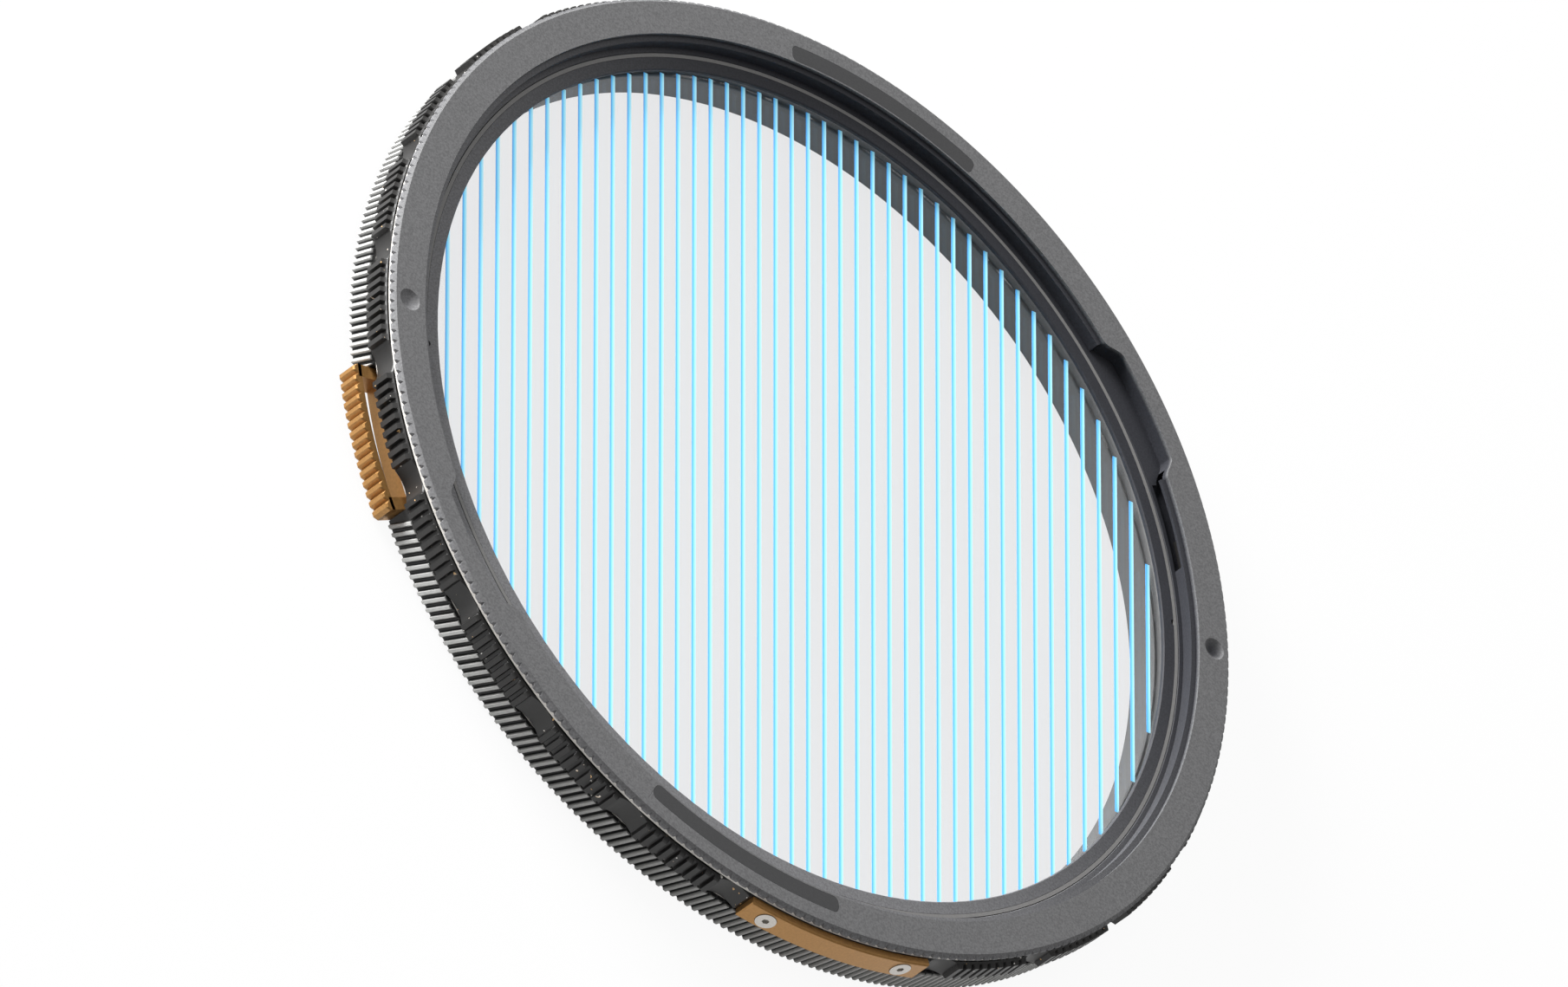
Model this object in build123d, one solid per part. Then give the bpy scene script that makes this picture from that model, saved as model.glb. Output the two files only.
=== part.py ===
from build123d import *
import math
import os

# Magnetic lens filter, 82 mm class. It lies on its front rim with the magnetic rear face up.
# Origin: on the optical axis, in the plane of the rear socket's floor, where the lens ring seats.
# +Z runs along the axis to the rear.
# All lengths are millimetres, all angles degrees anticlockwise from +X seen from the rear.

# Radii, from the clear aperture outwards
aperture_radius = 40.43
glass_seat_width = 0.32
glass_side_clearance = 0.05
retainer_land = 0.58
thread_clearance = 0.02
sleeve_wall = 0.35
running_clearance = 0.05
socket_floor_width = 0.52
lip_step = 0.55
entry_depth = 1.29
collar_wall = 0.54
lug_ring_wall = 0.65
bond_gap = 0.02
grip_dip_wall = 0.48
grip_root_rise = 0.45
grip_rib_height = 0.45
plate_overhang = 1.65
front_ring_inset = 0.05
front_knurl_depth = 0.4

# Heights of the stack, from the front rim to the rear face
front_ring_height = 2.9
front_ring_gap = 0.2
grip_height = 2.45
grip_top_gap = 0.15
rear_glide_thickness = 0.35
rear_glide_inset = 0.18
plate_thickness = 0.55
front_glide_thickness = 0.12
collar_end_gap = 0.25
seating_gap = 0.03

# Rear face and its bayonet socket
rim_chamfer = 0.35
rim_chamfer_height = 0.3
lip_height = 0.45
socket_depth = 1.6
entry_angle = 32.0
entry_mouth_span = 18.0
entry_floor_span = 13.5
entry_corner_radius = 0.7
window_start_angle = 11.5
window_end_angle = 24.4
window_top_depth = 0.74
window_bottom_depth = 2.0
seam_chamfer = 0.08
dimple_angle = 1.0
dimple_inset = 1.47
dimple_radius = 1.05
dimple_depth = 0.42

# Arc magnets
magnet_angle = 79.8
magnet_span = 27.0
magnet_lip_wall = 0.16
magnet_width = 1.57
magnet_thickness = 0.8
magnet_corner_radius = 0.6
magnet_clearance = 0.02

# Lock ring
lug_span = 4.0
lug_reach = 1.65
lug_height = 0.6
lug_drop = 0.2
lug_clearance = 0.1
lug_end_clearance_angle = 0.2
grip_periods = 25
grip_dip_span = 3.9
grip_ribs_per_block = 9
grip_rib_pitch_angle = 1.2
grip_rib_share = 0.55
click_spring_angle = 100.0
click_spring_span = 10.0
click_spring_height = 1.2
click_spring_thickness = 0.15
click_spring_rise = 0.28
click_pocket_depth = 0.75
click_pocket_margin = 0.15
click_travel_angle = 8.5

# Nameplate and its screws
plate_angle = 274.6
plate_span = 24.0
plate_sink = 0.65
plate_proud = 0.1
plate_edge_chamfer = 0.12
plate_screw_offset_angle = 9.1
plate_screw_head_radius = 0.95
plate_screw_head_height = 0.4
plate_screw_proud = 0.06
plate_screw_shank_radius = 0.45
plate_screw_socket_radius = 0.34
plate_screw_socket_depth = 0.25
screw_clearance = 0.03

# Front ring, its sleeve and the snap wire
front_knurl_teeth = 360
front_knurl_slant = 20.0
front_edge_band = 0.3
front_edge_chamfer = 0.2
seat_chamfer = 0.1
snap_wire_level = 0.65
snap_wire_height = 0.44
snap_wire_depth = 0.33
snap_wire_reach = 0.3
snap_groove_clearance = 0.03
snap_groove_float = 0.08
snap_wire_gap_angle = 5.0
front_glide_width = 1.0

# Glass sandwich with its streak lines
glass_thickness = 0.6
line_layer_thickness = 0.06
line_thickness = 0.05
line_width = 0.42
line_pitch = 1.805
line_count = 45
line_offset = -0.45
line_edge_margin = 0.3
gasket_thickness = 0.1
gasket_width = 0.5
retainer_thickness = 0.35
retainer_overlap = 0.27
retainer_chamfer = 0.1
retainer_notch_angle = 4.2
retainer_notch_radius = 0.28
retainer_notch_depth = 0.2

# Lever
lever_angle = 196.2
lever_span = 17.1
lever_height = 2.1
lever_base_level = 0.4
lever_base_thickness = 0.5
lever_strut_width = 1.2
lever_bar_gap = 0.25
lever_bar_thickness = 0.5
lever_tooth_count = 15
lever_tooth_height = 0.38
lever_tooth_land = 0.35
lever_fit = 0.03
lever_recess_depth = 1.8
lever_recess_margin = 0.05
lever_screw_offset_angle = 5.0
lever_screw_head_radius = 0.8
lever_screw_head_height = 0.5
lever_screw_sink = 0.06
lever_screw_shank_radius = 0.45
lever_screw_grip = 0.3
lever_screw_socket_radius = 0.3
lever_screw_socket_depth = 0.3

# Facets of the outlines that are drawn with short straight lines
seat_steps = 12
dip_steps = 6
lever_base_steps = 8

# Radii that follow from the ones above
glass_radius = aperture_radius + glass_seat_width
glass_bore_radius = glass_radius + glass_side_clearance
retainer_radius = glass_bore_radius + retainer_land
retainer_bore_radius = retainer_radius + thread_clearance
sleeve_radius = retainer_bore_radius + sleeve_wall
mount_bore_radius = sleeve_radius + running_clearance
socket_radius = mount_bore_radius + socket_floor_width
lip_radius = socket_radius + lip_step
entry_radius = lip_radius + entry_depth
collar_radius = entry_radius + collar_wall
lug_ring_bore_radius = collar_radius + running_clearance
lug_ring_radius = lug_ring_bore_radius + lug_ring_wall
grip_bore_radius = lug_ring_radius + bond_gap
grip_dip_radius = grip_bore_radius + grip_dip_wall
grip_root_radius = grip_dip_radius + grip_root_rise
grip_radius = grip_root_radius + grip_rib_height
rim_radius = collar_radius + plate_overhang
face_radius = rim_radius - rim_chamfer
magnet_inner_radius = lip_radius + magnet_lip_wall
dimple_centre_radius = face_radius - dimple_inset
plate_radius = grip_radius + plate_proud
plate_seat_radius = grip_radius - plate_sink
front_ring_radius = rim_radius - front_ring_inset
front_root_radius = front_ring_radius - front_knurl_depth
lever_recess_radius = front_ring_radius - lever_recess_depth
lever_bar_inner_radius = grip_radius + lever_bar_gap

# Levels that follow from the ones above
socket_floor = 0
rear_face = socket_floor + socket_depth
plate_bottom = rear_face - plate_thickness
rear_glide_bottom = plate_bottom - rear_glide_thickness
grip_top = rear_glide_bottom - grip_top_gap
grip_bottom = grip_top - grip_height
front_ring_top = grip_bottom - front_ring_gap
front_rim = front_ring_top - front_ring_height
knurl_bottom = front_rim + front_edge_band
collar_bottom = front_ring_top + collar_end_gap
sleeve_top = socket_floor - seating_gap
retainer_bottom = sleeve_top - retainer_thickness
glass_top = retainer_bottom - gasket_thickness
line_layer_top = glass_top - glass_thickness
line_layer_bottom = line_layer_top - line_layer_thickness
glass_seat = line_layer_bottom - glass_thickness
lug_ring_bottom = grip_bottom + seating_gap
lug_ring_top = grip_top - seating_gap
lug_top = lug_ring_top - lug_drop
lug_bottom = lug_top - lug_height
snap_wire_middle = collar_bottom + snap_wire_level
click_middle = (collar_bottom + lug_bottom) / 2
plate_screw_level = (grip_bottom + grip_top) / 2
lever_bottom = front_rim + lever_base_level
lever_level = lever_bottom + lever_height / 2

# Cutters reach well past what they cut
cutter_height = 4 * (rear_face - front_rim)
cutter_start_radius = aperture_radius / 2


def polar(radius, angle):
    """Point in the XY plane."""
    return (radius * math.cos(math.radians(angle)), radius * math.sin(math.radians(angle)))


def turned(points):
    """Solid of revolution about Z from a closed (radius, height) outline."""
    outline = Polyline(*[(radius, 0, height) for radius, height in points], close=True)
    return revolve(make_face(outline), Axis.Z)


def tube(inner_radius, outer_radius, bottom, top):
    """Plain ring."""
    return turned([(inner_radius, bottom), (outer_radius, bottom), (outer_radius, top), (inner_radius, top)])


def sector_face(inner_radius, outer_radius, start, end):
    """Flat ring sector with arcs on its two round sides."""
    middle = (start + end) / 2
    outline = [
        ThreePointArc(polar(inner_radius, start), polar(inner_radius, middle), polar(inner_radius, end)),
        Line(polar(inner_radius, end), polar(outer_radius, end)),
        ThreePointArc(polar(outer_radius, end), polar(outer_radius, middle), polar(outer_radius, start)),
        Line(polar(outer_radius, start), polar(inner_radius, start)),
    ]
    return make_face(outline)


def sector(inner_radius, outer_radius, start, end, bottom, top):
    """Ring sector as a solid."""
    return Pos(0, 0, bottom) * extrude(sector_face(inner_radius, outer_radius, start, end), top - bottom)


def radial_cylinder(radius, angle, level, start, end):
    """Round bar that points straight out from the axis, between two distances from it."""
    bar = Cylinder(radius, end - start, align=(Align.CENTER, Align.CENTER, Align.MIN))
    return Rot(0, 0, angle) * Pos(start, 0, level) * Rot(0, 90, 0) * bar


def hex_socket(radius, angle, level, bottom, mouth):
    """Hexagon recess that opens outwards, or inwards where the mouth is nearer the axis."""
    prism = extrude(RegularPolygon(radius, 6), abs(mouth - bottom))
    return Rot(0, 0, angle) * Pos(min(bottom, mouth), 0, level) * Rot(0, 90, 0) * prism


def arc_points(radius, start, end, count):
    """Points along an arc, both ends included."""
    return [polar(radius, start + (end - start) * step / (count - 1)) for step in range(count)]


def export(shape, name):
    export_step(shape, f"parts/{name}.step")


def magnet_outline(clearance):
    """Arc bar with rounded corners, grown all round by the clearance."""
    margin = math.degrees(clearance / magnet_inner_radius)
    start = magnet_angle - magnet_span / 2 - margin
    end = magnet_angle + magnet_span / 2 + margin
    inner = magnet_inner_radius - clearance
    outer = magnet_inner_radius + magnet_width + clearance
    face = sector_face(inner, outer, start, end)
    return fillet(face.vertices(), magnet_corner_radius)


def magnet():
    return Pos(0, 0, rear_face - magnet_thickness) * extrude(magnet_outline(0), magnet_thickness)


def magnet_pocket():
    depth = magnet_thickness + magnet_clearance
    return Pos(0, 0, rear_face - depth) * extrude(magnet_outline(magnet_clearance), depth)


def entry_cut():
    """Bayonet entry: a slot in the lip with slanted, rounded ends, cut down to the socket floor."""
    mouth = entry_mouth_span / 2
    floor = entry_floor_span / 2
    inside = socket_radius - socket_floor_width / 2
    outline = [
        Line(polar(inside, entry_angle - mouth), polar(lip_radius, entry_angle - mouth)),
        Line(polar(lip_radius, entry_angle - mouth), polar(entry_radius, entry_angle - floor)),
        ThreePointArc(
            polar(entry_radius, entry_angle - floor),
            polar(entry_radius, entry_angle),
            polar(entry_radius, entry_angle + floor),
        ),
        Line(polar(entry_radius, entry_angle + floor), polar(lip_radius, entry_angle + mouth)),
        Line(polar(lip_radius, entry_angle + mouth), polar(inside, entry_angle + mouth)),
        ThreePointArc(
            polar(inside, entry_angle + mouth),
            polar(inside, entry_angle),
            polar(inside, entry_angle - mouth),
        ),
    ]
    face = make_face(outline)
    far_corners = face.vertices().sort_by(lambda corner: math.hypot(corner.X, corner.Y))[-2:]
    return Pos(0, 0, socket_floor) * extrude(fillet(far_corners, entry_corner_radius), socket_depth)


def window_cut():
    """Undercut beside the entry, with a slot below it through which the lug is put in from the front."""
    undercut = sector(
        socket_radius - socket_floor_width / 2,
        entry_radius,
        window_start_angle,
        window_end_angle,
        rear_face - window_bottom_depth,
        rear_face - window_top_depth,
    )
    floor_ring = tube(mount_bore_radius, socket_radius, collar_bottom, socket_floor)
    lug_way = sector(
        lug_ring_bore_radius - lug_reach - lug_clearance,
        collar_radius + running_clearance,
        window_start_angle,
        window_end_angle,
        collar_bottom,
        lug_top + lug_clearance,
    )
    return undercut - floor_ring + lug_way


def click_pocket():
    """Shallow pocket in the collar for one click spring."""
    margin_angle = math.degrees(click_pocket_margin / collar_radius)
    reach = click_spring_span / 2 + margin_angle
    half_height = click_spring_height / 2 + click_pocket_margin
    return sector(
        collar_radius - click_pocket_depth,
        collar_radius + running_clearance,
        click_spring_angle - reach,
        click_spring_angle + reach,
        click_middle - half_height,
        click_middle + half_height,
    )


def dimple():
    """Shallow round dimple in the rear face, cut by a ball."""
    ball_radius = (dimple_radius**2 + dimple_depth**2) / (2 * dimple_depth)
    x, y = polar(dimple_centre_radius, dimple_angle)
    return Pos(x, y, rear_face + ball_radius - dimple_depth) * Sphere(ball_radius)


def mount_flange():
    """Turned mount: rear plate with the bayonet socket, and the collar that both rings run on."""
    groove_bottom = snap_wire_middle - snap_wire_height / 2 - snap_groove_clearance
    groove_top = snap_wire_middle + snap_wire_height / 2 + snap_groove_clearance
    groove_radius = sleeve_radius + snap_wire_reach + snap_groove_float
    body = turned([
        (mount_bore_radius, collar_bottom),
        (collar_radius, collar_bottom),
        (collar_radius, plate_bottom),
        (rim_radius, plate_bottom),
        (rim_radius, rear_face - rim_chamfer_height),
        (face_radius, rear_face),
        (lip_radius, rear_face),
        (lip_radius, rear_face - lip_height),
        (socket_radius, rear_face - lip_height),
        (socket_radius, socket_floor),
        (mount_bore_radius + seam_chamfer, socket_floor),
        (mount_bore_radius, socket_floor - seam_chamfer),
        (mount_bore_radius, groove_top),
        (groove_radius, groove_top),
        (groove_radius, groove_bottom),
        (mount_bore_radius, groove_bottom),
    ])
    cuts = [entry_cut(), window_cut(), magnet_pocket(), dimple(), click_pocket()]
    for cut in cuts:
        for half_turn in (0, 180):
            body -= Rot(0, 0, half_turn) * cut
    return body


def click_spring():
    """Bowed leaf spring: its ends press on the pocket floor and its crown stands out of the collar."""
    floor_radius = collar_radius - click_pocket_depth + running_clearance
    crown_radius = collar_radius + click_spring_rise - click_spring_thickness
    start = click_spring_angle - click_spring_span / 2
    end = click_spring_angle + click_spring_span / 2
    thick = click_spring_thickness
    outline = [
        ThreePointArc(
            polar(floor_radius, start), polar(crown_radius, click_spring_angle), polar(floor_radius, end)
        ),
        Line(polar(floor_radius, end), polar(floor_radius + thick, end)),
        ThreePointArc(
            polar(floor_radius + thick, end),
            polar(crown_radius + thick, click_spring_angle),
            polar(floor_radius + thick, start),
        ),
        Line(polar(floor_radius + thick, start), polar(floor_radius, start)),
    ]
    return Pos(0, 0, click_middle - click_spring_height / 2) * extrude(make_face(outline), click_spring_height)


def lug_ring():
    """Steel ring inside the grip ring. Its two lugs reach into the undercuts of the mount."""
    ring = tube(lug_ring_bore_radius, lug_ring_radius, lug_ring_bottom, lug_ring_top)
    lug_start = window_start_angle + lug_end_clearance_angle
    half_height = click_spring_height / 2 + click_pocket_margin
    track_reach = click_spring_span / 2
    for half_turn in (0, 180):
        lug = sector(
            lug_ring_bore_radius - lug_reach,
            lug_ring_bore_radius + lug_ring_wall / 2,
            lug_start,
            lug_start + lug_span,
            lug_bottom,
            lug_top,
        )
        track = sector(
            collar_radius,
            collar_radius + click_spring_rise + click_pocket_margin,
            click_spring_angle - click_travel_angle - track_reach,
            click_spring_angle + track_reach,
            click_middle - half_height,
            click_middle + half_height,
        )
        ring = ring + Rot(0, 0, half_turn) * lug - Rot(0, 0, half_turn) * track
    for side in (-1, 1):
        angle = plate_angle + side * plate_screw_offset_angle
        hole_radius = plate_screw_shank_radius + screw_clearance
        ring -= radial_cylinder(
            hole_radius, angle, plate_screw_level, lug_ring_bore_radius - lug_ring_wall, grip_radius
        )
    return ring


def grip_outline():
    """One turn of the grip: the nameplate's seat, then smooth dips with a block of ribs between each two."""
    period = 360 / grip_periods
    seat_start = plate_angle - plate_span / 2
    points = arc_points(plate_seat_radius, seat_start, seat_start + plate_span, seat_steps + 1)
    for number in range(1, grip_periods):
        dip = plate_angle + number * period
        points += dip_points(dip)
        if number < grip_periods - 1:
            points += rib_points(dip + period / 2)
    return points


def rib_points(middle):
    """Block of square ribs."""
    points = []
    rib = grip_rib_pitch_angle * grip_rib_share
    for step in range(grip_ribs_per_block):
        rib_middle = middle + (step - (grip_ribs_per_block - 1) / 2) * grip_rib_pitch_angle
        points.append(polar(grip_root_radius, rib_middle - rib / 2))
        points.append(polar(grip_radius, rib_middle - rib / 2))
        points.append(polar(grip_radius, rib_middle + rib / 2))
        points.append(polar(grip_root_radius, rib_middle + rib / 2))
    return points


def dip_points(middle):
    """Smooth hollow across the grip, from edge to edge along a round bottom."""
    points = []
    for step in range(dip_steps + 1):
        across = 2 * step / dip_steps - 1
        rise = (grip_root_radius - grip_dip_radius) * across**2
        points.append(polar(grip_dip_radius + rise, middle + across * grip_dip_span / 2))
    return points


def grip_ring():
    outline = Polyline(*grip_outline(), close=True)
    ring = Pos(0, 0, grip_bottom) * extrude(make_face(outline), grip_height)
    ring -= Cylinder(grip_bore_radius, cutter_height)
    for side in (-1, 1):
        angle = plate_angle + side * plate_screw_offset_angle
        hole_radius = plate_screw_shank_radius + screw_clearance
        ring -= radial_cylinder(hole_radius, angle, plate_screw_level, collar_radius, grip_radius)
    return ring


def nameplate():
    """Bare curved plate with rounded outer edges, counterbored for its two screws."""
    start = plate_angle - plate_span / 2
    end = plate_angle + plate_span / 2
    plate = sector(plate_seat_radius + bond_gap, plate_radius, start, end, grip_bottom, grip_top)
    outer_face = plate.faces().sort_by(lambda face: -face.area)[0]
    plate = chamfer(outer_face.edges(), plate_edge_chamfer)
    for side in (-1, 1):
        angle = plate_angle + side * plate_screw_offset_angle
        seat = plate_radius + plate_screw_proud - plate_screw_head_height - screw_clearance
        plate -= radial_cylinder(
            plate_screw_shank_radius + screw_clearance, angle, plate_screw_level, collar_radius, plate_radius
        )
        plate -= radial_cylinder(
            plate_screw_head_radius + screw_clearance,
            angle,
            plate_screw_level,
            seat,
            plate_radius + grip_rib_height,
        )
    return plate


def nameplate_screws():
    screws = []
    for side in (-1, 1):
        angle = plate_angle + side * plate_screw_offset_angle
        head_top = plate_radius + plate_screw_proud
        head_bottom = head_top - plate_screw_head_height
        shank_end = lug_ring_bore_radius + running_clearance
        screw = radial_cylinder(plate_screw_head_radius, angle, plate_screw_level, head_bottom, head_top)
        screw += radial_cylinder(plate_screw_shank_radius, angle, plate_screw_level, shank_end, head_bottom)
        socket_bottom = head_top - plate_screw_socket_depth
        screw -= hex_socket(plate_screw_socket_radius, angle, plate_screw_level, socket_bottom, head_top)
        screws.append(screw)
    return Compound(children=screws)


def front_knurl():
    """Fine slanted teeth: two pointed outlines, the upper one turned, joined by straight flanks."""
    pitch = 360 / front_knurl_teeth
    knurl_height = front_ring_top - knurl_bottom
    lean = math.degrees(knurl_height * math.tan(math.radians(front_knurl_slant)) / front_ring_radius)
    outlines = []
    for height, turn in ((knurl_bottom, 0), (front_ring_top, lean)):
        points = []
        for tooth in range(front_knurl_teeth):
            points.append(polar(front_root_radius, turn + tooth * pitch))
            points.append(polar(front_ring_radius, turn + (tooth + 0.5) * pitch))
        outlines.append(Pos(0, 0, height) * make_face(Polyline(*points, close=True)))
    return loft(outlines, ruled=True)


def front_ring():
    """Turned ring with the knurl outside, and the sleeve that holds the glass and runs in the mount."""
    groove_half = snap_wire_height / 2 + snap_groove_clearance
    groove_radius = sleeve_radius - snap_wire_depth - snap_groove_clearance
    knurl = front_knurl() - Cylinder(sleeve_radius, cutter_height)
    body = turned([
        (aperture_radius, front_rim),
        (front_root_radius - front_edge_chamfer, front_rim),
        (front_root_radius, front_rim + front_edge_chamfer),
        (front_root_radius, knurl_bottom),
        (sleeve_radius, knurl_bottom),
        (sleeve_radius, snap_wire_middle - groove_half),
        (groove_radius, snap_wire_middle - groove_half),
        (groove_radius, snap_wire_middle + groove_half),
        (sleeve_radius, snap_wire_middle + groove_half),
        (sleeve_radius, sleeve_top - seam_chamfer),
        (sleeve_radius - seam_chamfer, sleeve_top),
        (retainer_bore_radius, sleeve_top),
        (retainer_bore_radius, retainer_bottom),
        (glass_bore_radius, retainer_bottom),
        (glass_bore_radius, glass_seat),
        (aperture_radius + seat_chamfer, glass_seat),
        (aperture_radius, glass_seat - seat_chamfer),
    ])
    ring = body + knurl
    half_span = lever_span / 2 + math.degrees(lever_recess_margin / lever_recess_radius)
    ring -= sector(
        lever_recess_radius,
        front_ring_radius + lever_tooth_height,
        lever_angle - half_span,
        lever_angle + half_span,
        front_rim - front_edge_band,
        grip_bottom,
    )
    for side in (-1, 1):
        angle = lever_angle + side * lever_screw_offset_angle
        hole_radius = lever_screw_shank_radius + screw_clearance
        ring -= radial_cylinder(hole_radius, angle, lever_level, cutter_start_radius, lever_recess_radius)
        head_seat = aperture_radius + lever_screw_head_height + screw_clearance
        ring -= radial_cylinder(
            lever_screw_head_radius + screw_clearance, angle, lever_level, cutter_start_radius, head_seat
        )
    return ring


def lever_outline():
    """Outer outline of the lever seen along the axis, with a row of teeth on its outer bar."""
    start = lever_angle - lever_span / 2
    base_radius = lever_recess_radius + lever_fit
    tooth_root = lever_bar_inner_radius + lever_bar_thickness
    tooth_tip = tooth_root + lever_tooth_height
    pitch = lever_span / lever_tooth_count
    points = arc_points(base_radius, start + lever_span, start, lever_base_steps + 1)
    for tooth in range(lever_tooth_count):
        root_start = start + tooth * pitch
        tip_start = root_start + pitch * (1 - lever_tooth_land) / 2
        tip_end = tip_start + pitch * lever_tooth_land
        points.append(polar(tooth_root, root_start))
        points.append(polar(tooth_tip, tip_start))
        points.append(polar(tooth_tip, tip_end))
    points.append(polar(tooth_root, start + lever_span))
    return points


def lever():
    """Closed loop: base strip in the ring's recess, two end struts and a toothed outer bar."""
    face = make_face(Polyline(*lever_outline(), close=True))
    strut_angle = math.degrees(lever_strut_width / lever_bar_inner_radius)
    finger_slot = sector_face(
        lever_recess_radius + lever_fit + lever_base_thickness,
        lever_bar_inner_radius,
        lever_angle - lever_span / 2 + strut_angle,
        lever_angle + lever_span / 2 - strut_angle,
    )
    body = Pos(0, 0, lever_bottom) * extrude(face - finger_slot, lever_height)
    for side in (-1, 1):
        angle = lever_angle + side * lever_screw_offset_angle
        body -= radial_cylinder(
            lever_screw_shank_radius + screw_clearance,
            angle,
            lever_level,
            lever_recess_radius - lever_base_thickness,
            lever_recess_radius + lever_fit + lever_screw_grip + screw_clearance,
        )
    return body


def lever_screws():
    """Small screws put in from the aperture, each with its head sunk in the ring's wall."""
    screws = []
    for side in (-1, 1):
        angle = lever_angle + side * lever_screw_offset_angle
        head_start = aperture_radius + lever_screw_sink
        head_end = aperture_radius + lever_screw_head_height
        shank_end = lever_recess_radius + lever_fit + lever_screw_grip
        screw = radial_cylinder(lever_screw_head_radius, angle, lever_level, head_start, head_end)
        screw += radial_cylinder(lever_screw_shank_radius, angle, lever_level, head_end, shank_end)
        socket_end = head_start + lever_screw_socket_depth
        screw -= hex_socket(lever_screw_socket_radius, angle, lever_level, socket_end, head_start)
        screws.append(screw)
    return Compound(children=screws)


def glass_disc(bottom):
    return Pos(0, 0, bottom) * Cylinder(
        glass_radius, glass_thickness, align=(Align.CENTER, Align.CENTER, Align.MIN)
    )


def streak_lines():
    """Parallel flat lines along Y between the two discs, each as long as the glass is there."""
    lines = []
    reach = glass_radius - line_edge_margin
    bottom = (line_layer_bottom + line_layer_top) / 2
    for number in range(line_count):
        x = line_offset + (number - (line_count - 1) / 2) * line_pitch
        outer_edge = abs(x) + line_width / 2
        if outer_edge < reach:
            length = 2 * math.sqrt(reach**2 - outer_edge**2)
            lines.append(Pos(x, 0, bottom) * Box(line_width, length, line_thickness))
    return Compound(children=lines)


def retaining_ring():
    """Threaded ring over the glass, with two half-round pin notches in its outer edge."""
    inner = aperture_radius - retainer_overlap
    ring = turned([
        (inner, retainer_bottom),
        (retainer_radius, retainer_bottom),
        (retainer_radius, sleeve_top),
        (inner + retainer_chamfer, sleeve_top),
        (inner, sleeve_top - retainer_chamfer),
    ])
    for half_turn in (0, 180):
        x, y = polar(retainer_radius, retainer_notch_angle + half_turn)
        ring -= Pos(x, y, sleeve_top) * Cylinder(retainer_notch_radius, 2 * retainer_notch_depth)
    return ring


def gasket():
    return tube(glass_radius - gasket_width, glass_radius, glass_top, retainer_bottom)


def snap_wire():
    """Split spring ring that keeps the front ring on the mount."""
    bottom = snap_wire_middle - snap_wire_height / 2
    top = snap_wire_middle + snap_wire_height / 2
    ring = tube(sleeve_radius - snap_wire_depth, sleeve_radius + snap_wire_reach, bottom, top)
    return ring - sector(
        aperture_radius, lip_radius, -snap_wire_gap_angle / 2, snap_wire_gap_angle / 2, bottom, top
    )


def rear_glide_ring():
    return tube(
        collar_radius + running_clearance,
        rim_radius - rear_glide_inset,
        rear_glide_bottom,
        plate_bottom,
    )


def front_glide_ring():
    inner = collar_radius
    return tube(inner, inner + front_glide_width, front_ring_top, front_ring_top + front_glide_thickness)


def main():
    os.makedirs("parts", exist_ok=True)
    export(mount_flange(), "mount_flange")
    for number, half_turn in ((1, 0), (2, 180)):
        export(Rot(0, 0, half_turn) * magnet(), f"magnet_{number}")
        export(Rot(0, 0, half_turn) * click_spring(), f"click_spring_{number}")
    export(rear_glide_ring(), "rear_glide_ring")
    export(grip_ring(), "grip_ring")
    export(lug_ring(), "lug_ring")
    export(nameplate(), "nameplate")
    export(nameplate_screws(), "nameplate_screws")
    export(front_ring(), "front_ring")
    export(front_glide_ring(), "front_glide_ring")
    export(snap_wire(), "snap_wire")
    export(lever(), "lever")
    export(lever_screws(), "lever_screws")
    export(glass_disc(glass_seat), "front_glass")
    export(streak_lines(), "streak_lines")
    export(glass_disc(line_layer_top), "rear_glass")
    export(gasket(), "glass_gasket")
    export(retaining_ring(), "retaining_ring")


main()
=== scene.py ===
import math
import bmesh
import bpy
import numpy as np
from mathutils import Matrix, Vector


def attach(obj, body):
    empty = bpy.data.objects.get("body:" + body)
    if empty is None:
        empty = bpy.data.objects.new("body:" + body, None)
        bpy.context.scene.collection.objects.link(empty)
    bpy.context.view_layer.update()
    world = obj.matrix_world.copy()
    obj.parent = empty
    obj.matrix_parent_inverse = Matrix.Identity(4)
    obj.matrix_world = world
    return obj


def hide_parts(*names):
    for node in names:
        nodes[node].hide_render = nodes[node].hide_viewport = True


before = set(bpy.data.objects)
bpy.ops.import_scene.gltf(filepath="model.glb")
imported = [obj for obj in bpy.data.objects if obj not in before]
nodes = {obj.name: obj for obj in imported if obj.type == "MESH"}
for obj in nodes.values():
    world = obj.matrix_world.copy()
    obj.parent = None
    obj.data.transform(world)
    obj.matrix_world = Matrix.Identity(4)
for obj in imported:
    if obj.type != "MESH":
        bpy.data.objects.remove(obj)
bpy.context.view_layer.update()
mm = 0.001
hair = 0.01  # degrees between the two rows of a sharp step
scene = bpy.context.scene


# Shader maths: a Sock is one output of a node, and Python's operators on it add Math nodes
class Sock:
    def __init__(self, finish, made, output=0):
        self.finish = finish
        self.made = made
        self.socket = made.outputs[output] if made.outputs else None

    def out(self, output):
        return Sock(self.finish, self.made, output)

    def math(self, operation, *values):
        return self.finish.node("Math", {"operation": operation}, dict(enumerate(values)))

    def __add__(self, other):
        return self.math("ADD", self, other)

    def __sub__(self, other):
        return self.math("SUBTRACT", self, other)

    def __mul__(self, other):
        return self.math("MULTIPLY", self, other)

    def __truediv__(self, other):
        return self.math("DIVIDE", self, other)

    def fract(self):
        return self.math("FRACT", self)

    def step(self, low, high):
        # 0 below low, 1 above high, smooth between
        values = {"Value": self, "From Min": low, "From Max": high}
        return self.finish.node("MapRange", {"interpolation_type": "SMOOTHSTEP"}, values)


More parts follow.
